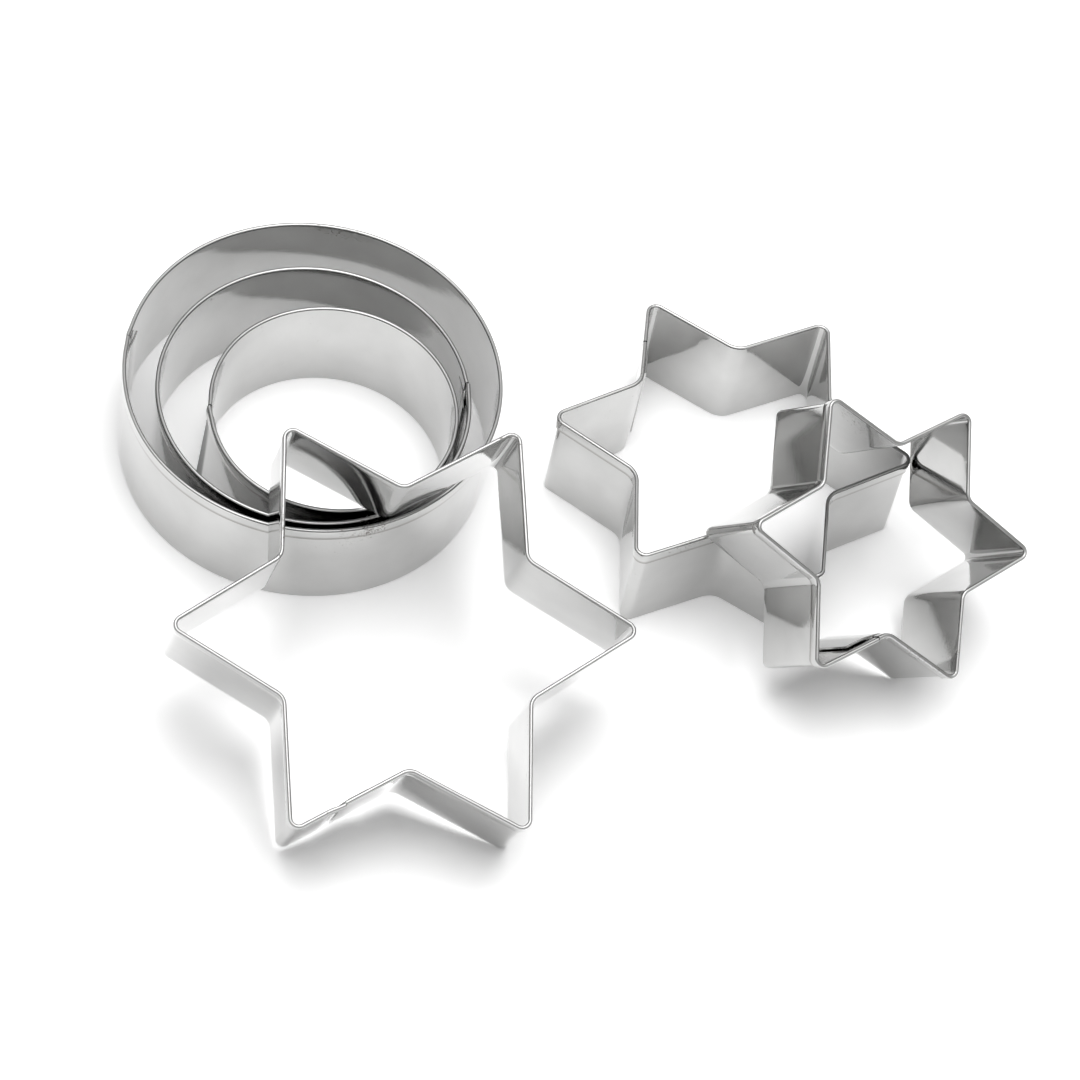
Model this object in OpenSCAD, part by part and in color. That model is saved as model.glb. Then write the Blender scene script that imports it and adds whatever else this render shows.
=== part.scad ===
// Pastry cutters bent from folded steel strip: nested round rings and six-pointed stars.
// Each cutter is one strip with its top edge folded outward, closed by a spot-welded lap.
// Two of the stars lean, and the place where each one rests is worked out below.

/* [Strip] */
// Height of every cutter, from the cutting edge to the top of the folded rim
cutter_h = 25; // [18:0.5:40]
// Thickness of the steel strip
strip_t = 0.4; // [0.3:0.05:0.6]
// Height of the folded rim, measured down from the top
hem_h = 3; // [2:0.25:5]
// Slit left between the wall and its folded part
hem_slit = 0.1; // [0.05:0.05:0.3]

/* [Lap seam] */
// Length of the tongue that laps over the far end of a round cutter's strip
round_lap_len = 4; // [3:0.5:8]
// Length of the tongue that laps over the far end of a star's strip
star_lap_len = 6; // [4:0.5:8]
// Gap between the two butted ends of the folded rim
butt_gap = 0.5; // [0.3:0.1:1.5]
// Space between tongue and wall, filled by the welds
lap_gap = 0.3; // [0.05:0.05:0.4]
// Step that the folded rim leaves above the tongue
tongue_drop = 0.3; // [0.2:0.1:2]
// Length of the joggle where the strip steps aside for the lap
joggle_len = 0.9; // [0.5:0.1:1.5]
// Diameter of one spot weld
weld_d = 2.4; // [1.5:0.1:4]

/* [Round cutters] */
// Inside radius of the large round cutter
round_large_r = 40; // [36:0.5:60]
// Inside radius of the medium round cutter
round_medium_r = 33; // [30:0.5:35]
// Inside radius of the small round cutter
round_small_r = 26; // [18:0.5:28]
// Least gap between the medium cutter's rim and the large cutter's wall
medium_gap = 1; // [0.3:0.1:2]
// Direction in which the medium cutter is pushed aside
medium_dir = -70; // [-90:1:0]
// Least gap between the small cutter's rim and the medium cutter's wall
small_gap = 0.9; // [0.3:0.1:2]
// Direction in which the small cutter is pushed aside
small_dir = -30; // [-90:1:0]
// Direction of the large cutter's seam
large_seam = 183; // [0:1:360]
// Direction of the medium cutter's seam
medium_seam = 22; // [0:1:360]
// Direction of the small cutter's seam
small_seam = 196; // [0:1:360]

/* [Star cutters] */
// Centre to sharp point of the large star, inside the wall
star_large_r = 47.6; // [42:0.1:56]
// Centre to sharp point of the medium star, inside the wall
star_medium_r = 38.8; // [36:0.1:42]
// Centre to sharp point of the small star, inside the wall
star_small_r = 32.1; // [28:0.1:36]
// Distance of the inner corners from the centre, as a share of that of the points
waist_share = 0.6; // [0.58:0.005:0.62]
// Inside radius of the large star's rounded points
star_large_tip_r = 1.3; // [1:0.1:3]
// Inside radius of the medium star's rounded points
star_medium_tip_r = 1.5; // [1:0.1:3]
// Inside radius of the small star's rounded points
star_small_tip_r = 1.1; // [0.8:0.1:3]
// Radius of the large star's rounded inner corners, on the inside face
star_large_waist_r = 3.5; // [2:0.1:6]
// Radius of the medium star's rounded inner corners, on the inside face
star_medium_waist_r = 5; // [2:0.1:6]
// Radius of the small star's rounded inner corners, on the inside face
star_small_waist_r = 3; // [2:0.1:4]
// Place of the large star's seam, as a share of the strip between two corners
large_star_seam = 0.44; // [0.4:0.01:0.6]
// Place of the medium star's seam, as a share of the strip between two corners
medium_star_seam = 0.49; // [0.4:0.01:0.55]
// Place of the small star's seam, as a share of the strip between two corners
small_star_seam = 0.84; // [0.7:0.01:0.84]

/* [Places on the table] */
// Centre of the large round cutter, to the side
rings_x = -57.6; // [-80:0.1:-30]
// Centre of the large round cutter, to the back
rings_y = 31.6; // [10:0.1:60]
// Centre of the medium star from the large round cutter, to the side
medium_star_dx = 90.6; // [86:0.1:120]
// Centre of the medium star from the large round cutter, to the back
medium_star_dy = 10.8; // [0:0.1:30]
// Turn of the medium star
medium_star_turn = 8.8; // [0:0.1:20]
// Low point of the large star from the large round cutter, to the side
large_star_dx = 45.8; // [40:0.1:56]
// Low point of the large star from the large round cutter, to the back
large_star_dy = -95; // [-104:0.1:-90]
// Direction in which the large star rises from the table
large_star_climb = 111.6; // [100:0.1:120]
// Turn of the large star about its own axis
large_star_turn = 25.2; // [15:0.1:35]
// Low point of the small star from the medium star's centre, to the side
small_star_dx = 45.2; // [40:0.1:60]
// Low point of the small star from the medium star's centre, to the back
small_star_dy = -34.2; // [-45:0.1:-20]
// Direction in which the small star rises from the table
small_star_climb = 134.8; // [120:0.1:150]
// Turn of the small star about its own axis
small_star_turn = 2.4; // [-10:0.1:15]
// Clearance where a leaning star rests on a rim
seat_gap = 0.2; // [0.15:0.05:1]

/* [Hidden] */

// Between two corners a star's wall is straight, so the share sets how sharp the corners are
points = 6;
corner_step = 180 / points;
half_point = atan2(waist_share * sin(corner_step), 1 - waist_share * cos(corner_step));
tip_turn = 180 - 2 * half_point;
waist_turn = tip_turn - 2 * corner_step;

tip_steps = 8;
waist_steps = 4;

// Radius of the points, radius of their rounding, and radius of the inner corners
large_shape = [star_large_r, star_large_tip_r, star_large_waist_r];
medium_shape = [star_medium_r, star_medium_tip_r, star_medium_waist_r];
small_shape = [star_small_r, star_small_tip_r, star_small_waist_r];

hem_t = 2 * strip_t + hem_slit;
fold_r = hem_t / 2;
tongue_h = cutter_h - hem_h - tongue_drop;
weld_heights = [tongue_h * 0.28, tongue_h * 0.72];

// Where the rings stand: each smaller one is pushed against the one around it
function toward(dir, d) = [d * cos(dir), d * sin(dir)];
large_at = [rings_x, rings_y];
medium_at = large_at + toward(medium_dir, round_large_r - round_medium_r - hem_t - medium_gap);
small_at = medium_at + toward(small_dir, round_medium_r - round_small_r - hem_t - small_gap);
star_medium_at = large_at + [medium_star_dx, medium_star_dy];
star_large_foot = large_at + [large_star_dx, large_star_dy];
star_small_foot = star_medium_at + [small_star_dx, small_star_dy];

// The line of a star's wall, one corner after another: each entry holds a point on the
// inside face and the direction square to the wall that leads outward from it
function tip_middle(shape) = shape[0] - shape[1] / sin(half_point);
function tip_line(shape, i) = [
    for (s = [0:tip_steps])
        let (dir = 2 * i * corner_step, out = toward(dir + (s / tip_steps - 0.5) * tip_turn, 1))
            [toward(dir, tip_middle(shape)) + shape[1] * out, out]
];
function waist_middle(shape) = shape[0] * waist_share + shape[2] / cos(waist_turn / 2);
function waist_line(shape, i) = [
    for (s = [0:waist_steps])
        let (dir = (2 * i + 1) * corner_step, out = toward(dir - (s / waist_steps - 0.5) * waist_turn, 1))
            [toward(dir, waist_middle(shape)) - shape[2] * out, out]
];

// The same line as plain points at a distance n outside the inside face
function turned(p, a) = [p[0] * cos(a) - p[1] * sin(a), p[0] * sin(a) + p[1] * cos(a)];
function star_corners(shape, n) = [
    for (i = [0:points - 1], c = concat(tip_line(shape, i), waist_line(shape, i))) c[0] + n * c[1]
];
line_step = 4 * strip_t;
function star_line(shape, n) = let (c = star_corners(shape, n)) [
    for (i = [0:len(c) - 1])
        let (a = c[i], b = c[(i + 1) % len(c)], parts = ceil(norm(b - a) / line_step))
            for (k = [0:parts - 1]) a + (b - a) * k / parts
];

// A leaning star touches the table at its lowest point, and its edge rises from there
function reach(shape, turn) = -min([
    for (i = [0:points - 1]) turned(toward(2 * i * corner_step, tip_middle(shape)), turn)[0]
]) + shape[1] + strip_t;
function edge_point(p, foot, climb, turn, low, lean) =
    let (q = turned(p, turn), x = q[0] + low, w = turned([x * cos(lean), q[1]], climb))
    [foot[0] + w[0], foot[1] + w[1], x * sin(lean)];

// Distance from a point of the table plan to the middle of the rim that carries a star
function to_ring(p) = abs(norm([p[0], p[1]] - large_at) - round_large_r - hem_t / 2);
function to_segment(p, a, b) =
    let (t = max(0, min(1, (p - a) * (b - a) / ((b - a) * (b - a))))) norm(p - a - (b - a) * t);
medium_star_rim = [
    for (p = star_corners(medium_shape, hem_t / 2)) star_medium_at + turned(p, medium_star_turn)
];
function to_star(p) = min([
    for (i = [0:len(medium_star_rim) - 1])
        to_segment([p[0], p[1]], medium_star_rim[i], medium_star_rim[(i + 1) % len(medium_star_rim)])
]);

// The lean is the least one at which the cutting edge clears the rim that it rests on
rim_reach = hem_t / 2 + strip_t / 2 + seat_gap;
function clears(line, foot, climb, turn, low, lean, on_ring) = min([
    for (e = line)
        let (p = edge_point(e, foot, climb, turn, low, lean))
            p[2] > cutter_h + seat_gap ? 1 :
            (on_ring ? to_ring(p) : to_star(p)) > rim_reach ? 1 : 0
]) == 1;
function least_lean(line, foot, climb, turn, low, on_ring, flat, steep, steps) =
    steps == 0 ? steep :
    let (mid = (flat + steep) / 2)
        clears(line, foot, climb, turn, low, mid, on_ring)
        ? least_lean(line, foot, climb, turn, low, on_ring, flat, mid, steps - 1)
        : least_lean(line, foot, climb, turn, low, on_ring, mid, steep, steps - 1);
function resting_lean(shape, foot, climb, turn, on_ring) = least_lean(
    star_line(shape, strip_t / 2), foot, climb, turn, reach(shape, turn), on_ring, 5, 65, 12
);
large_lean = resting_lean(large_shape, star_large_foot, large_star_climb, large_star_turn, true);
small_lean = resting_lean(small_shape, star_small_foot, small_star_climb, small_star_turn, false);
echo(large_lean = large_lean, small_lean = small_lean);

// The strip seen end on: x runs outward from the inside face, y runs up
function fold_point(radius, a) = [fold_r, cutter_h - fold_r] + toward(a, radius);
strip_points = concat(
    [[0, 0], [strip_t, 0]],
    [for (a = [180:-90:0]) fold_point(hem_slit / 2, a)],
    [[strip_t + hem_slit, cutter_h - hem_h], [hem_t, cutter_h - hem_h]],
    [for (a = [0:30:180]) fold_point(fold_r, a)]
);
module strip_profile() {
    polygon(strip_points);
}

// The tongue lies inside the wall, and the joggle joins the two
module tongue_profile() {
    translate([-strip_t - lap_gap, 0])
        square([strip_t, tongue_h]);
}
module joggle_profile() {
    translate([-strip_t / 2 - lap_gap, 0])
        square([strip_t + lap_gap, tongue_h]);
}
module weld_profile() {
    translate([-lap_gap, 0])
        square([lap_gap, tongue_h]);
}

// Straight run of a profile along +Y, between two distances
module run(from, to) {
    translate([0, to, 0])
        rotate([90, 0, 0])
            linear_extrude(to - from)
                children();
}

// Round run of a profile, turning about the origin from one direction to another
module bend(r, from, to) {
    rotate([0, 0, from])
        rotate_extrude(angle = to - from, $fn = 120)
            translate([r, 0])
                children();
}

// Angle that an arc of the given length takes up on a round cutter
function arc_angle(len, r) = len / r * 180 / PI;

// A round cutter: the strip goes once round, and its tongue laps on past the seam.
// way is 1 when the tongue runs anticlockwise, and -1 when it runs clockwise.
module round_band(r, seam, way) {
    gap = arc_angle(butt_gap, r);
    lap = arc_angle(round_lap_len, r);
    joggle = arc_angle(joggle_len, r);
    rotate([0, 0, seam])
        mirror([0, way == 1 ? 0 : 1, 0]) {
            bend(r, gap / 2, 360 - gap / 2)
                strip_profile();
            bend(r, -gap / 2 - joggle, -gap / 2 - joggle / 10)
                joggle_profile();
            bend(r, -gap / 2 - joggle, gap / 2 + lap)
                tongue_profile();
        }
}

module round_welds(r, seam, way) {
    rotate([0, 0, seam])
        mirror([0, way == 1 ? 0 : 1, 0])
            for (h = weld_heights)
                intersection() {
                    bend(r, 0, arc_angle(round_lap_len, r))
                        weld_profile();
                    rotate([0, 0, arc_angle(round_lap_len / 2, r)])
                        translate([r - 2 * strip_t, 0, h])
                            rotate([0, 90, 0])
                                cylinder(h = 5 * strip_t, d = weld_d, $fn = 48);
                }
}

// Puts the children on the side of the star that leaves its third point, with +Y along it
seam_side = 2;
function side_len(r) = norm(toward(0, r) - toward(corner_step, r * waist_share));
function side_dir(i) = 2 * i * corner_step + 180 - half_point;
function on_side_at(r, i, s) = toward(2 * i * corner_step, r) + toward(side_dir(i), s);
module on_seam_side(r) {
    translate(on_side_at(r, seam_side, 0))
        rotate([0, 0, side_dir(seam_side) - 90])
            children();
}

// The strip follows the line of the star from one side of the seam round to the other
function star_path(shape, seam) = concat(
    [[on_side_at(shape[0], seam_side, seam + butt_gap / 2), toward(side_dir(seam_side) - 90, 1)]],
    waist_line(shape, seam_side),
    [for (i = [1:points - 1], c = concat(
        tip_line(shape, seam_side + i), waist_line(shape, seam_side + i))) c],
    tip_line(shape, seam_side),
    [[on_side_at(shape[0], seam_side, seam - butt_gap / 2), toward(side_dir(seam_side) - 90, 1)]]
);
module bent_strip(path) {
    n = len(strip_points);
    last = len(path) - 1;
    spots = [
        for (c = path, q = strip_points)
            [c[0][0] + q[0] * c[1][0], c[0][1] + q[0] * c[1][1], q[1]]
    ];
    walls = [
        for (i = [0:last - 1], j = [0:n - 1])
            [i * n + j, i * n + (j + 1) % n, (i + 1) * n + (j + 1) % n, (i + 1) * n + j]
    ];
    near_end = [for (j = [n - 1:-1:0]) j];
    far_end = [for (j = [0:n - 1]) last * n + j];
    polyhedron(spots, concat(walls, [near_end, far_end]));
}

// The lap of a star: the folded ends butt, and the tongue runs on along the inside.
// way is 1 when the tongue runs away from the point, and -1 when it runs towards it.
module star_lap(r, seam, way) {
    start = -butt_gap / 2 - joggle_len;
    on_seam_side(r)
        translate([0, seam, 0])
            mirror([0, way == 1 ? 0 : 1, 0]) {
                run(start, -butt_gap / 2 - joggle_len / 10)
                    joggle_profile();
                run(start, butt_gap / 2 + star_lap_len)
                    tongue_profile();
            }
}

module star_band(shape, share, way) {
    seam = side_len(shape[0]) * share;
    bent_strip(star_path(shape, seam));
    star_lap(shape[0], seam, way);
}

module star_welds(shape, share, way) {
    on_seam_side(shape[0])
        for (h = weld_heights)
            translate([-lap_gap, side_len(shape[0]) * share + way * star_lap_len / 2, h])
                rotate([0, 90, 0])
                    cylinder(h = lap_gap, d = weld_d, $fn = 48);
}

// Places on the table
module stand(at, turn = 0) {
    translate([at[0], at[1], 0])
        rotate([0, 0, turn])
            children();
}
module leaning(foot, climb, lean, shape, turn) {
    translate([foot[0], foot[1], 0])
        rotate([0, 0, climb])
            rotate([0, -lean, 0])
                translate([reach(shape, turn), 0, 0])
                    rotate([0, 0, turn])
                        children();
}
module large_star_place() {
    leaning(star_large_foot, large_star_climb, large_lean, large_shape, large_star_turn)
        children();
}
module small_star_place() {
    leaning(star_small_foot, small_star_climb, small_lean, small_shape, small_star_turn)
        children();
}

// The six bent strips
module round_large() {
    color([0.78, 0.78, 0.79])
        stand(large_at)
            round_band(round_large_r, large_seam, -1);
}
module round_medium() {
    color([0.74, 0.74, 0.75])
        stand(medium_at)
            round_band(round_medium_r, medium_seam, -1);
}
module round_small() {
    color([0.82, 0.82, 0.83])
        stand(small_at)
            round_band(round_small_r, small_seam, 1);
}
module star_large() {
    color([0.76, 0.76, 0.77])
        large_star_place()
            star_band(large_shape, large_star_seam, 1);
}
module star_medium() {
    color([0.8, 0.8, 0.81])
        stand(star_medium_at, medium_star_turn)
            star_band(medium_shape, medium_star_seam, 1);
}
module star_small() {
    color([0.7, 0.7, 0.71])
        small_star_place()
            star_band(small_shape, small_star_seam, -1);
}

// The spot welds that close them
module round_large_welds() {
    color([0.6, 0.6, 0.6])
        stand(large_at)
            round_welds(round_large_r, large_seam, -1);
}
module round_medium_welds() {
    color([0.6, 0.6, 0.6])
        stand(medium_at)
            round_welds(round_medium_r, medium_seam, -1);
}
module round_small_welds() {
    color([0.6, 0.6, 0.6])
        stand(small_at)
            round_welds(round_small_r, small_seam, 1);
}
module star_large_welds() {
    color([0.6, 0.6, 0.6])
        large_star_place()
            star_welds(large_shape, large_star_seam, 1);
}
module star_medium_welds() {
    color([0.6, 0.6, 0.6])
        stand(star_medium_at, medium_star_turn)
            star_welds(medium_shape, medium_star_seam, 1);
}
module star_small_welds() {
    color([0.6, 0.6, 0.6])
        small_star_place()
            star_welds(small_shape, small_star_seam, -1);
}

round_large();
round_medium();
round_small();
star_large();
star_medium();
star_small();
round_large_welds();
round_medium_welds();
round_small_welds();
star_large_welds();
star_medium_welds();
star_small_welds();
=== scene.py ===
"""A group of polished steel cookie cutters: three nested rounds and three six-pointed stars."""
import math

import bpy
import numpy as np
from mathutils import Matrix, Vector


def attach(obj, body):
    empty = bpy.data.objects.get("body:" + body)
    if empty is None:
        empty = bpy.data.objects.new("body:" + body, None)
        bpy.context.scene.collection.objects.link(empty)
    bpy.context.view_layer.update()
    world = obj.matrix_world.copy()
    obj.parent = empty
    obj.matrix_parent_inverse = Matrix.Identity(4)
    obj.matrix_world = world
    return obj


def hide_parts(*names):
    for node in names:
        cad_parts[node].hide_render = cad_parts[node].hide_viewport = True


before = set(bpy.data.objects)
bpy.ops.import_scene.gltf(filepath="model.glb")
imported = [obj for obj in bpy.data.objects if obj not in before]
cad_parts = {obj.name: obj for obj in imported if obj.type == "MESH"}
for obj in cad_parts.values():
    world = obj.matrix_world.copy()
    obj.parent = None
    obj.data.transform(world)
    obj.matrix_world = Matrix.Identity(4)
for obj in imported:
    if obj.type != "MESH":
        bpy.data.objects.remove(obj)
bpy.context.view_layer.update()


# Camera. A long lens looks down on the group from the front, turned a little to one side,
# so that the row of cutters runs slightly downhill in the picture.
camera_place = (0.00751, -0.54182, 0.79609)
camera_turn = 0.98
camera_tilt = 35.29
camera_roll = 13.31
sensor_width = 36.0
lens_length = 150.49

camera = bpy.data.objects.new("camera", bpy.data.cameras.new("camera"))
camera.data.sensor_width = sensor_width
camera.data.lens = lens_length
camera.matrix_world = (
    Matrix.Translation(camera_place)
    @ Matrix.Rotation(math.radians(camera_turn), 4, "Z")
    @ Matrix.Rotation(math.radians(camera_tilt), 4, "X")
    @ Matrix.Rotation(math.radians(camera_roll), 4, "Z")
)
bpy.context.scene.collection.objects.link(camera)
bpy.context.scene.camera = camera


# Bent strip. Every cutter is one strip of stainless steel, 0.4 mm thick. Its top edge is folded
# outward and pressed flat against the wall, which stiffens it and makes a blunt rim for the hand.
# Near the seam the strip steps aside, and its plain tongue laps behind the other end.
strip_height = 0.025
strip_thick = 0.0004
rim_depth = 0.003
rim_slit = 0.0001
rim_thick = 2 * strip_thick + rim_slit
flat_width = strip_height + rim_depth
edge_radius = 0.00007
edge_steps = 3
crest_steps = 9
level_step = 0.0015
level_clearance = 0.0005
tongue_height = 0.0217
rim_kerf = 0.0002
butt_gap = 0.0003
lap_gap = 0.0003
rim_step_length = 0.004
tongue_step_length = 0.0064
flare_length = 0.012
# The painted shade beside the standing-off end reaches shade_length along the wall, and is full
# where the end stands off by dark_gap.
shade_length = 0.003
dark_gap = 0.0002
wave_height = 0.00003
wave_length = 0.02
sharp_bend = 40


def rounded(corners):
    """Outline with each corner (x, height, radius) turned into a small arc, x running outward."""
    line = []
    for i, (x, z, radius) in enumerate(corners):
        here = Vector((x, z))
        to_last = (Vector(corners[i - 1][:2]) - here).normalized()
        to_next = (Vector(corners[(i + 1) % len(corners)][:2]) - here).normalized()
        middle = here + (to_last + to_next) * radius
        steps = crest_steps if radius >= rim_thick / 2 else edge_steps
        for k in range(steps + 1):
            turn = math.pi / 2 * k / steps
            line.append(
                middle - to_next * radius * math.cos(turn) - to_last * radius * math.sin(turn))
    return line


def with_levels(line):
    """The same outline with points added on its long upright runs, so that the wall can wave."""
    levels = [level_step * k for k in range(1, int(strip_height / level_step))]
    full = []
    for a, b in zip(line, line[1:] + line[:1]):
        full.append(a)
        lowest = min(a.y, b.y) + level_clearance
        highest = max(a.y, b.y) - level_clearance
        inner = [z for z in levels if lowest < z < highest]
        for z in inner if b.y > a.y else reversed(inner):
            full.append(a.lerp(b, (z - a.y) / (b.y - a.y)))
    return full


def section(name, corners):
    """A closed profile for the strip. Curve to Mesh turns its Y downward, so height is negative."""
    line = with_levels(rounded(corners))
    curve = bpy.data.curves.new(name, "CURVE")
    curve.dimensions = "2D"
    spline = curve.splines.new("POLY")
    spline.points.add(len(line) - 1)
    for point, spot in zip(spline.points, line):
        point.co = (spot.x, -spot.y, 0, 1)
    spline.use_cyclic_u = True
    return bpy.data.objects.new(name, curve)


def folded_corners(bottom):
    """The folded strip, from its foot up the wall, round the fold and back."""
    return [
        (0, bottom, edge_radius),
        (strip_thick, bottom, edge_radius),
        (strip_thick, strip_height - strip_thick, rim_slit / 2),
        (strip_thick + rim_slit, strip_height - strip_thick, rim_slit / 2),
        (strip_thick + rim_slit, strip_height - rim_depth, edge_radius),
        (rim_thick, strip_height - rim_depth, edge_radius),
        (rim_thick, strip_height, rim_thick / 2),
        (0, strip_height, rim_thick / 2),
    ]


sections = {
    "Wall": section("wall section", folded_corners(0)),
    "Rim": section("rim section", folded_corners(tongue_height + rim_kerf)),
    "Tongue": section("tongue section", [
        (0, 0, edge_radius),
        (strip_thick, 0, edge_radius),
        (strip_thick, tongue_height, edge_radius),
        (0, tongue_height, edge_radius),
    ]),
}


class Wiring:
    """Adds nodes to one tree. An input is given a plain value or another node's output."""

    def __init__(self, tree):
        self.tree = tree

    def fill(self, node, inputs):
        for name, value in inputs.items():
            if isinstance(value, bpy.types.NodeSocket):
                self.tree.links.new(value, node.inputs[name])
            else:
                node.inputs[name].default_value = value

    def add(self, kind, inputs, **settings):
        node = self.tree.nodes.new(kind)
        for name, value in settings.items():
            setattr(node, name, value)
        self.fill(node, inputs)
        return node

    def maths(self, operation, *values):
        made = self.add("ShaderNodeMath", dict(enumerate(values)), operation=operation)
        return made.outputs[0]

    def noise(self, place, scale, detail, **more):
        """More holds further inputs. Noise with a W input is four-dimensional."""
        made = self.tree.nodes.new("ShaderNodeTexNoise")
        if "W" in more:
            made.noise_dimensions = "4D"
        self.fill(made, {"Vector": place, "Scale": scale, "Detail": detail, **more})
        return made.outputs["Fac"]

    def ranged(self, value, low, high, at_low=0, at_high=1):
        """A straight ramp from one number to another, held level past both."""
        made = self.add("ShaderNodeMapRange", {
            "Value": value, "From Min": low, "From Max": high, "To Min": at_low,
            "To Max": at_high})
        return made.outputs["Result"]

    def mixed(self, share, colour, other):
        inputs = {"Factor": share, "A": colour, "B": other}
        return self.add("ShaderNodeMix", inputs, data_type="RGBA").outputs["Result"]


def rolling_tree():
    """Geometry Nodes that run the three sections along their paths, let the foot of the strip's
    outer end stand off and give the wall its slight unevenness. The steel reads what they keep:
    the strip's own length and height as the UV map "strip", the distance across the flat strip
    as "across", and the shade painted beside the end that stands off as "gap_shade"."""
    tree = bpy.data.node_groups.new("bent strip", "GeometryNodeTree")
    tree.is_modifier = True
    kinds = {"Geometry": "Geometry", "Finish": "Material"}
    for part in sections:
        kinds[part + " path"] = "Object"
        kinds[part + " section"] = "Object"
    for size in ("Height", "Rim section foot", "Outer end", "Foot flare", "Flare length",
                 "Shade length", "Dark gap", "Unevenness", "Wave length", "Wave place"):
        kinds[size] = "Float"
    for name, kind in kinds.items():
        tree.interface.new_socket(name, in_out="INPUT", socket_type="NodeSocket" + kind)
    tree.interface.new_socket("Geometry", in_out="OUTPUT", socket_type="NodeSocketGeometry")
    wiring = Wiring(tree)
    add, maths = wiring.add, wiring.maths
    given = add("NodeGroupInput", {}).outputs

    def stored(geometry, name, value, kind="FLOAT", domain="POINT"):
        inputs = {"Geometry": geometry, "Name": name, "Value": value}
        made = add("GeometryNodeStoreNamedAttribute", inputs, data_type=kind, domain=domain)
        return made.outputs["Geometry"]

    def kept(name, kind="FLOAT"):
        made = add("GeometryNodeInputNamedAttribute", {"Name": name}, data_type=kind)
        return made.outputs["Attribute"]

    def pushed_out(geometry, distance):
        """Moves the strip's points along its outward direction."""
        outward = kept("outward", "FLOAT_VECTOR")
        push = add("ShaderNodeVectorMath", {0: outward, "Scale": distance}, operation="SCALE")
        moved = add("GeometryNodeSetPosition", {"Geometry": geometry, "Offset": push.outputs[0]})
        return moved.outputs["Geometry"]

    def nearness(distance, reach):
        """1 at a distance of nothing, falling to 0 at the reach and beyond it."""
        return maths("MAXIMUM", 0, maths("SUBTRACT", 1, maths("DIVIDE", distance, reach)))

    spot = add("GeometryNodeInputPosition", {}).outputs[0]
    height = add("ShaderNodeSeparateXYZ", {0: spot}).outputs["Z"]
    along = add("GeometryNodeSplineParameter", {}).outputs["Length"]
    facing = add("GeometryNodeInputNormal", {}).outputs["Normal"]
    across = {
        "Wall": along,
        "Rim": maths("ADD", along, given["Rim section foot"]),
        "Tongue": maths("MULTIPLY", along, 0),
    }
    joined = add("GeometryNodeJoinGeometry", {})
    for part in sections:
        path = add("GeometryNodeObjectInfo", {"Object": given[part + " path"]})
        upright = add("GeometryNodeSetCurveNormal", {"Curve": path.outputs["Geometry"]},
                      mode="Z_UP")
        line = stored(upright.outputs["Curve"], "run", along)
        line = stored(line, "outward", facing, "FLOAT_VECTOR")
        shape = add("GeometryNodeObjectInfo", {"Object": given[part + " section"]})
        sweep = add("GeometryNodeCurveToMesh", {
            "Curve": line, "Fill Caps": True,
            "Profile Curve": stored(shape.outputs["Geometry"], "across", across[part])})
        made = sweep.outputs["Mesh"]
        if part == "Wall":
            from_end = maths("ABSOLUTE", maths("SUBTRACT", kept("run"), given["Outer end"]))
            near = nearness(from_end, given["Flare length"])
            low = maths("SUBTRACT", 1, maths("DIVIDE", height, given["Height"]))
            foot = maths("MULTIPLY", low, given["Foot flare"])
            made = pushed_out(made, maths("MULTIPLY", maths("MULTIPLY", near, near), foot))
            # Painted shade: the wall close to the end that stands off is marked dark, as if lying
            # in the gap's shade.
            beside = nearness(from_end, given["Shade length"])
            shade = maths("MULTIPLY", beside, maths("DIVIDE", foot, given["Dark gap"]))
            made = stored(made, "gap_shade", maths("MINIMUM", 1, shade))
        tree.links.new(made, joined.inputs["Geometry"])
    per_metre = maths("DIVIDE", 1, given["Wave length"])
    waves = wiring.noise(spot, scale=per_metre, detail=1, W=given["Wave place"])
    wave = maths("MULTIPLY", maths("SUBTRACT", waves, 0.5), given["Unevenness"])
    length_and_height = add("ShaderNodeCombineXYZ", {"X": kept("run"), "Y": height}).outputs[0]
    mapped = stored(joined.outputs["Geometry"], "strip", length_and_height, "FLOAT2", "CORNER")
    real = add("GeometryNodeRealizeInstances", {"Geometry": pushed_out(mapped, wave)})
    coat = add("GeometryNodeSetMaterial",
               {"Geometry": real.outputs["Geometry"], "Material": given["Finish"]})
    add("NodeGroupOutput", {"Geometry": coat.outputs["Geometry"]})
    return tree


bent_strip_tree = rolling_tree()


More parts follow.
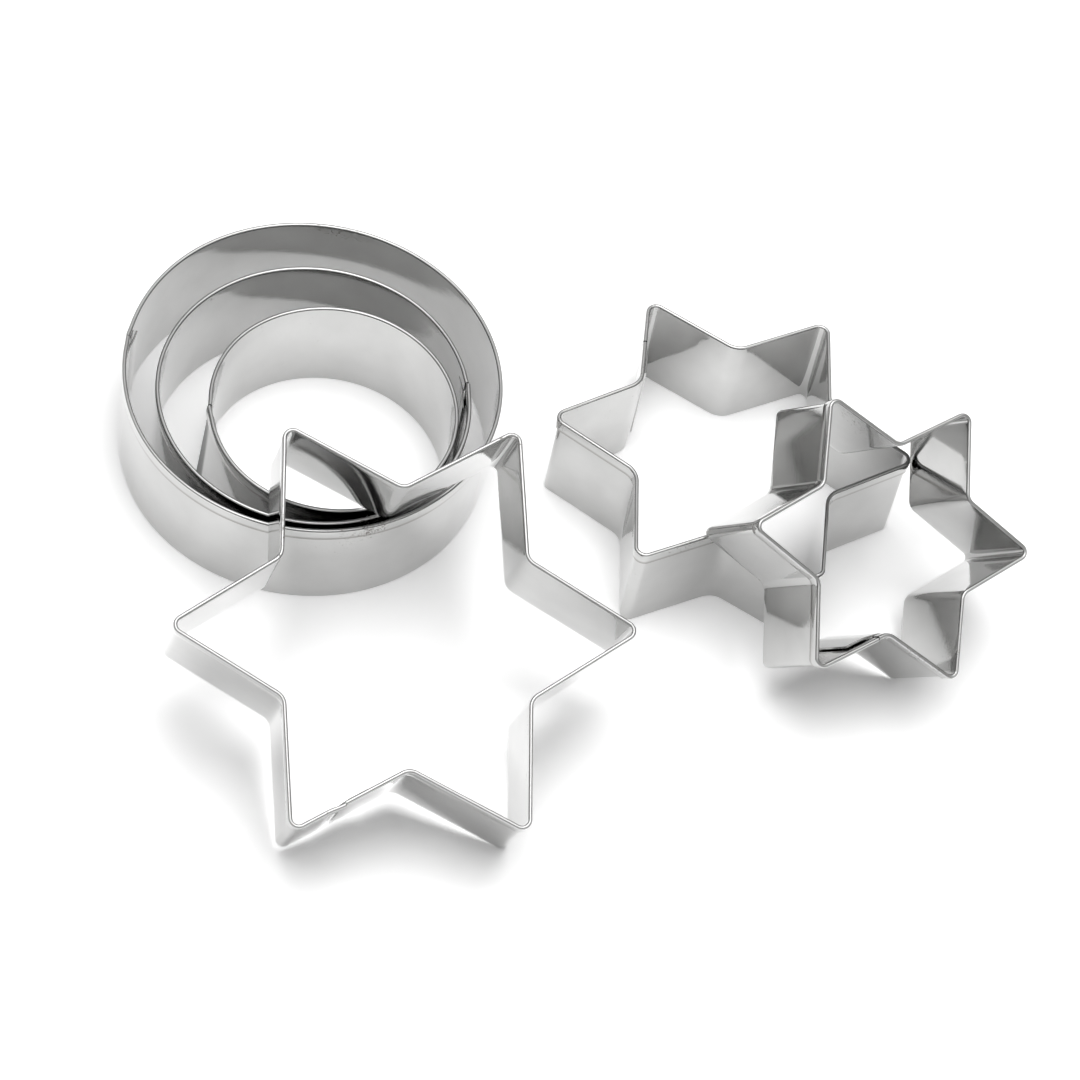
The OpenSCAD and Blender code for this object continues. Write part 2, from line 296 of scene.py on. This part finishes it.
def steel():
    """Bright-rolled stainless steel: a mirror with fine rolling lines along the strip, faint
    cloudy handling marks, scuffs mostly near the rim, a dull crest, painted shade along the
    lower edge of the fold and painted shade beside the strip's end that stands off."""
    cloudy = (0.455, 0.455, 0.45, 1)
    bright = (0.505, 0.505, 0.5, 1)
    # Dark steel, used both for the scuffs and for the painted shade along the lower edge of the
    # fold.
    scuff_and_shade_dark = (0.24, 0.23, 0.22, 1)
    # Near black for the painted shade in the gap beside the end that stands off.
    gap_shade_colour = (0.03, 0.03, 0.03, 1)
    rolling_lines = (40, 9000, 1)
    handled_from = 0.012
    handled_to = 0.023
    # The painted shade along the fold's lower edge is full up to the first distance and gone by the
    # second.
    edge_shade_to = 0.0003
    edge_shade_gone_from = 0.0009
    crest_from = strip_height - strip_thick
    crest_to = crest_from + 0.75 * strip_thick
    made = bpy.data.materials.new("polished_steel")
    made.use_nodes = True
    wiring = Wiring(made.node_tree)
    add, maths, ranged = wiring.add, wiring.maths, wiring.ranged
    strip = add("ShaderNodeUVMap", {}, uv_map="strip").outputs["UV"]
    place = add("ShaderNodeTexCoord", {}).outputs["Object"]
    height = add("ShaderNodeSeparateXYZ", {0: strip}).outputs["Y"]
    across = add("ShaderNodeAttribute", {}, attribute_name="across").outputs["Fac"]
    gap_shade = add("ShaderNodeAttribute", {}, attribute_name="gap_shade").outputs["Fac"]

    clouds = wiring.noise(place, scale=90, detail=3)
    tint = wiring.mixed(ranged(clouds, 0.3, 0.7), cloudy, bright)
    scratches = wiring.noise(place, scale=800, detail=4, Distortion=3)
    patches = wiring.noise(place, scale=60, detail=2, W=3.2)
    handled = ranged(height, handled_from, handled_to, at_low=0.8, at_high=1.08)
    scuffs = ranged(maths("MULTIPLY", maths("MULTIPLY", scratches, patches), handled), 0.4, 0.47)
    # Painted shade: the strip is darkened close to the lower edge of the fold, where the wall
    # beneath lies in shade.
    from_edge = maths("ABSOLUTE", maths("SUBTRACT", across, flat_width))
    fold_edge_shade = ranged(from_edge, edge_shade_to, edge_shade_gone_from, at_low=0.85, at_high=0)
    scuffed_and_shaded = wiring.mixed(maths("MAXIMUM", scuffs, fold_edge_shade), tint, scuff_and_shade_dark)

    clouded = ranged(clouds, 0.3, 0.7, at_low=0.03, at_high=0.07)
    crest = ranged(height, crest_from, crest_to, at_high=0.33)
    rolled = add("ShaderNodeMapping", {"Vector": strip, "Scale": rolling_lines}).outputs[0]
    lines = wiring.noise(rolled, scale=1, detail=2)
    grooves = add("ShaderNodeBump", {"Strength": 0.12, "Distance": 0.00002, "Height": lines})
    wiring.fill(made.node_tree.nodes["Principled BSDF"], {
        "Metallic": 1,
        "Base Color": wiring.mixed(gap_shade, scuffed_and_shaded, gap_shade_colour),
        "Roughness": maths("ADD", maths("MULTIPLY_ADD", scuffs, 0.3, clouded), crest),
        "Normal": grooves.outputs["Normal"],
    })
    return made


polished_steel = steel()


def outline_table(pieces):
    """Joins lists of (point, outward) into arrays with the distance run along the outline."""
    spots = np.array([spot for spot, outward in pieces], float)
    faces = np.array([outward for spot, outward in pieces], float)
    closed = np.vstack([spots, spots[:1]])
    run = np.concatenate([[0], np.cumsum(np.linalg.norm(np.diff(closed, axis=0), axis=1))])
    return {"spots": closed, "faces": np.vstack([faces, faces[:1]]), "run": run, "length": run[-1]}


def stretch(outline, start, end, aside=None):
    """Path points from one distance to another along the outline, which may pass its seam at 0.
    aside gives how far the strip stands off the outline, outward, at a distance."""
    closest = 0.0001
    fine_steps = 60
    total = outline["length"]
    marks = np.concatenate([outline["run"][:-1] + total * lap for lap in (-1, 0, 1)])
    inner = marks[(marks > start + closest) & (marks < end - closest)]
    places = np.concatenate([[start], inner, [end]])
    if aside:
        places = np.unique(np.concatenate([places, np.linspace(start, end, fine_steps)]))
    points = []
    for distance in places:
        here = distance % total
        x, y = (np.interp(here, outline["run"], outline["spots"][:, k]) for k in (0, 1))
        out_x, out_y = (np.interp(here, outline["run"], outline["faces"][:, k]) for k in (0, 1))
        off = aside(distance) if aside else 0
        size = math.hypot(out_x, out_y)
        points.append((x + out_x / size * off, y + out_y / size * off, 0))
    return points


def path(name, points):
    """A line for a section to run along."""
    curve = bpy.data.curves.new(name, "CURVE")
    curve.dimensions = "3D"
    spline = curve.splines.new("POLY")
    spline.points.add(len(points) - 1)
    for point, spot in zip(spline.points, points):
        point.co = (*spot, 1)
    return bpy.data.objects.new(name, curve)


def eased(share):
    """Goes from 0 to 1 with the share, and starts and stops gently."""
    return share * share * (3 - 2 * share)


def cutter(body, outline, way, lap, place, wave_place, rim_step=0, foot_flare=0):
    """Bends one cutter and puts it in place. way is 1 when its tongue runs on anticlockwise past
    the seam, and lap is how far it runs on, inside the wall. The rim steps in by rim_step beside
    the seam, and the foot of the strip's outer end stands off by foot_flare."""
    total = outline["length"]
    half_gap = butt_gap / 2
    begin = half_gap + rim_step_length
    outer_end = 0 if way == 1 else total - begin - half_gap

    def between(a, b):
        return (a, b) if way == 1 else (-b, -a)

    def stepping(depth, reach):
        def aside(distance):
            ahead = (distance if way == 1 else -distance) + begin
            return -depth * eased(min(1, max(0, ahead / reach)))
        return aside

    paths = {
        "Wall": path("wall path", stretch(outline, *between(half_gap, total - begin))),
        "Rim": path("rim path", stretch(
            outline, *between(-begin, -half_gap), stepping(rim_step, rim_step_length))),
        "Tongue": path("tongue path", stretch(
            outline, *between(-begin, half_gap + lap),
            stepping(strip_thick + lap_gap, tongue_step_length))),
    }
    piece = bpy.data.objects.new(body + "_strip", bpy.data.meshes.new(body + "_strip"))
    bpy.context.scene.collection.objects.link(piece)
    helpers = [*paths.values(), *sections.values()]
    for helper in helpers:
        bpy.context.scene.collection.objects.link(helper)
    bend = piece.modifiers.new("bent strip", "NODES")
    bend.node_group = bent_strip_tree
    given = {
        "Height": strip_height, "Rim section foot": tongue_height + rim_kerf,
        "Outer end": float(outer_end), "Foot flare": float(foot_flare),
        "Flare length": flare_length, "Shade length": shade_length, "Dark gap": dark_gap,
        "Unevenness": wave_height, "Wave length": wave_length, "Wave place": wave_place,
        "Finish": polished_steel,
    }
    for part in sections:
        given[part + " path"] = paths[part]
        given[part + " section"] = sections[part]
    for item in bent_strip_tree.interface.items_tree:
        if item.in_out == "INPUT" and item.name in given:
            bend[item.identifier] = given[item.name]
    bpy.context.view_layer.update()
    seen = bpy.context.evaluated_depsgraph_get()
    mesh = bpy.data.meshes.new_from_object(piece.evaluated_get(seen))
    piece.modifiers.clear()
    piece.data = mesh
    mesh.name = body + "_strip"
    mesh.transform(place)
    mesh.shade_smooth()
    mesh.set_sharp_from_angle(angle=math.radians(sharp_bend))
    for helper in helpers:
        bpy.context.scene.collection.objects.unlink(helper)
    for helper in paths.values():
        bpy.data.objects.remove(helper)
    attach(piece, body)
    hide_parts(body)


# Round cutters. Three plain rings of the same strip stand one inside another, each pushed
# against the one around it. Their seams lie at different places round the group.
round_large_radius = 0.040
round_medium_radius = 0.033
round_small_radius = 0.026
rings_centre = Vector((-0.0576, 0.0316))
medium_push = -70
medium_gap = 0.001
small_push = -30
small_gap = 0.0009
round_lap = 0.004
flat_end = 0.004
seam_dent = 0.0005
dent_width = 50
ring_points = 361


def toward(direction, distance):
    """A step in the plan, by direction in degrees and distance."""
    turn = math.radians(direction)
    return Vector((math.cos(turn), math.sin(turn))) * distance


def ring_outline(radius, seam):
    """The inside face of a ring, once round from just past its seam to just before it. The rolls
    leave the strip's two ends straight for a few millimetres, so the ring is faintly peaked and
    dented at its seam."""
    flat = math.degrees(flat_end / radius)
    just_past = 0.01
    line = []
    for k in np.linspace(just_past, 360 - just_past, ring_points):
        off_seam = k if k < 180 else k - 360
        within = max(0, flat - abs(off_seam))
        facing = off_seam + math.copysign(within, off_seam)
        dent = seam_dent * eased(max(0, 1 - abs(off_seam) / dent_width))
        reach = radius / math.cos(math.radians(within)) - dent
        line.append((toward(seam + off_seam, reach), toward(seam + facing, 1)))
    return outline_table(line)


def standing(at, turn=0):
    """The place of a cutter that stands flat on the table."""
    return Matrix.Translation((at.x, at.y, 0)) @ Matrix.Rotation(math.radians(turn), 4, "Z")


round_medium_centre = rings_centre + toward(
    medium_push, round_large_radius - round_medium_radius - rim_thick - medium_gap)
round_small_centre = round_medium_centre + toward(
    small_push, round_medium_radius - round_small_radius - rim_thick - small_gap)

cutter("round_large", ring_outline(round_large_radius, seam=183), -1, round_lap,
       standing(rings_centre), wave_place=1.3, rim_step=0.0001)
cutter("round_medium", ring_outline(round_medium_radius, seam=22), -1, round_lap,
       standing(round_medium_centre), wave_place=4.1, rim_step=0.0002)
cutter("round_small", ring_outline(round_small_radius, seam=196), 1, round_lap,
       standing(round_small_centre), wave_place=7.9, rim_step=0.0002, foot_flare=0.0012)


# Star cutters. The strip is bent round six sharp points and six inner corners. The medium star
# stands flat, the large one leans on the rounds and the small one leans over the medium star.
star_points = 6
pitch = 360 / star_points
waist_share = 0.6
seam_side = 2
# half_point is half the angle inside a point, in radians. The bends are how far the strip turns
# at a point and at an inner corner, in degrees.
half_point = math.atan2(waist_share / 2, 1 - waist_share * math.cos(math.radians(pitch / 2)))
point_bend = 180 - 2 * math.degrees(half_point)
waist_bend = point_bend - pitch
point_steps = 25
waist_steps = 15
run_step = 0.0012
star_lap = 0.006


class StarShape:
    """Sizes of one star, on the inside face of its wall."""

    def __init__(self, radius, point_radius, waist_radius):
        self.radius = radius
        self.point_radius = point_radius
        self.waist_radius = waist_radius
        self.point_middle = radius - point_radius / math.sin(half_point)
        self.waist_middle = (
            radius * waist_share + waist_radius / math.cos(math.radians(waist_bend / 2)))


def run_between(a, b):
    """Points along a straight run, every run_step or so, up to but not with its end."""
    parts = max(1, math.ceil((b[0] - a[0]).length / run_step))
    return [(a[0].lerp(b[0], k / parts), b[1]) for k in range(parts)]


def star_outline(shape, seam):
    """The inside face of a star, once round from its seam, which is on the side that leaves the
    point numbered seam_side. seam is its place there, as a share of the side's length."""
    seam_tip = seam_side * pitch
    seam_point = toward(seam_tip, shape.radius)
    next_waist = toward(seam_tip + pitch / 2, shape.radius * waist_share)
    seam_spot = seam_point.lerp(next_waist, seam)
    seam_face = toward(seam_tip + point_bend / 2, 1)
    point_turns = np.linspace(-point_bend / 2, point_bend / 2, point_steps)
    waist_turns = np.linspace(waist_bend / 2, -waist_bend / 2, waist_steps)
    corners = []
    for i in range(star_points):
        tip = (seam_side + i) * pitch
        waist = tip + pitch / 2
        corners.append([
            (toward(tip, shape.point_middle) + toward(tip + a, shape.point_radius),
             toward(tip + a, 1)) for a in point_turns])
        corners.append([
            (toward(waist, shape.waist_middle) - toward(waist + a, shape.waist_radius),
             toward(waist + a, 1)) for a in waist_turns])
    line = [(seam_spot, seam_face)]
    for corner in corners[1:] + corners[:1]:
        line += run_between(line[-1], corner[0])[1:]
        line += corner
    return outline_table(line + run_between(line[-1], (seam_spot, seam_face))[1:])


def leaning(foot, climb, lean, shape, turn):
    """Tips a star up about its lowest point: foot is that point, climb is the direction in which
    the star rises, and turn is its own turn about its axis."""
    reach = -min(toward(pitch * i + turn, shape.point_middle).x for i in range(star_points))
    reach += shape.point_radius + strip_thick
    return (
        standing(foot, climb)
        @ Matrix.Rotation(-math.radians(lean), 4, "Y")
        @ Matrix.Translation((reach, 0, 0))
        @ Matrix.Rotation(math.radians(turn), 4, "Z")
    )


star_large_shape = StarShape(0.0476, 0.0013, 0.0035)
star_medium_shape = StarShape(0.0388, 0.0015, 0.005)
star_small_shape = StarShape(0.0321, 0.0011, 0.003)
star_large_foot = rings_centre + Vector((0.0458, -0.095))
star_medium_centre = rings_centre + Vector((0.0906, 0.0108))
star_small_foot = star_medium_centre + Vector((0.0452, -0.0342))

cutter("star_medium", star_outline(star_medium_shape, seam=0.49), 1, star_lap,
       standing(star_medium_centre, turn=8.8), wave_place=2.7)
cutter("star_large", star_outline(star_large_shape, seam=0.44), 1, star_lap,
       leaning(star_large_foot, climb=111.6, lean=20.674, shape=star_large_shape, turn=25.2),
       wave_place=5.2, rim_step=-0.0003)
cutter("star_small", star_outline(star_small_shape, seam=0.84), -1, star_lap,
       leaning(star_small_foot, climb=134.8, lean=34.517, shape=star_small_shape, turn=2.4),
       wave_place=9.4, rim_step=0.0002)


# Spot welds. Two small resistance welds close each lap, where the two layers of the strip are
# pressed together and melted. The melted steel stays dull and slightly warm in colour.
def weld_steel():
    """Dull grey steel with a fine grain."""
    made = bpy.data.materials.new("weld_steel")
    made.use_nodes = True
    wiring = Wiring(made.node_tree)
    place = wiring.add("ShaderNodeTexCoord", {}).outputs["Object"]
    grain = wiring.noise(place, scale=2500, detail=2)
    wiring.fill(made.node_tree.nodes["Principled BSDF"], {
        "Metallic": 1,
        "Base Color": wiring.mixed(grain, (0.36, 0.35, 0.33, 1), (0.56, 0.55, 0.53, 1)),
        "Roughness": 0.45,
    })
    return made


dull_weld = weld_steel()
for name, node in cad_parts.items():
    if name.endswith("_welds"):
        node.data.materials.clear()
        node.data.materials.append(dull_weld)


# Studio. A white table and backdrop, a large soft lamp overhead and a dim room around, which
# the polished walls mirror.
table_half = 0.9
table_drop = 0.00002
fade_from = 0.25
fade_to = 0.5


def grey(level):
    """A colour with no tint."""
    return (level, level, level, 1)


def plain_white(name, tone, to_eye, to_mirror):
    """White ground that keeps soft shadows. The eye and the mirrors see it brighter than the
    light that it passes on, each by its own share, and far off it fades to plain white."""
    made = bpy.data.materials.new(name)
    made.use_nodes = True
    made.node_tree.nodes.clear()
    wiring = Wiring(made.node_tree)
    ray = wiring.add("ShaderNodeLightPath", {}).outputs
    mirrored = wiring.mixed(ray["Is Glossy Ray"], grey(tone), grey(tone * to_mirror))
    seen = wiring.mixed(ray["Is Camera Ray"], mirrored, grey(tone * to_eye))
    paint = wiring.add("ShaderNodeBsdfDiffuse", {"Color": seen}).outputs[0]
    plain = wiring.add("ShaderNodeEmission", {}).outputs[0]
    place = wiring.add("ShaderNodeTexCoord", {}).outputs["Object"]
    away = wiring.add("ShaderNodeVectorMath", {0: place}, operation="LENGTH").outputs["Value"]
    far = wiring.ranged(away, fade_from, fade_to)
    ground = wiring.add("ShaderNodeMixShader", {
        0: wiring.maths("MULTIPLY", far, ray["Is Camera Ray"]), 1: paint, 2: plain})
    wiring.add("ShaderNodeOutputMaterial", {"Surface": ground.outputs[0]})
    return made


table_corners = [(x * table_half, y * table_half, -table_drop)
                 for x, y in ((-1, -1), (1, -1), (1, 1), (-1, 1))]
table_mesh = bpy.data.meshes.new("table")
table_mesh.from_pydata(table_corners, [], [(0, 1, 2, 3)])
table_mesh.materials.append(plain_white("table white", tone=0.8, to_eye=1.52, to_mirror=1.65))
table = bpy.data.objects.new("table", table_mesh)
bpy.context.scene.collection.objects.link(table)

world = bpy.data.worlds.new("room")
bpy.context.scene.world = world
world.use_nodes = True
room = Wiring(world.node_tree)
to_camera = room.add("ShaderNodeLightPath", {}).outputs["Is Camera Ray"]
room.fill(world.node_tree.nodes["Background"], {
    "Color": room.mixed(to_camera, grey(0.24), grey(1))})


def lamp(name, place, aim, size, power):
    """A soft rectangular lamp that faces the place aimed at."""
    data = bpy.data.lights.new(name, "AREA")
    data.shape = "RECTANGLE"
    data.size, data.size_y = size
    data.energy = power
    made = bpy.data.objects.new(name, data)
    made.location = place
    made.rotation_euler = (Vector(aim) - Vector(place)).to_track_quat("-Z", "Y").to_euler()
    bpy.context.scene.collection.objects.link(made)


lamp("overhead softbox", place=(0, 0.05, 1.2), aim=(0, 0, 0), size=(0.9, 1), power=11.5)
lamp("pale ceiling", place=(0, 0.1, 1.3), aim=(0, 0.1, 0), size=(3.4, 3.4), power=14.5)


bpy.context.scene.view_settings.view_transform = "Standard"
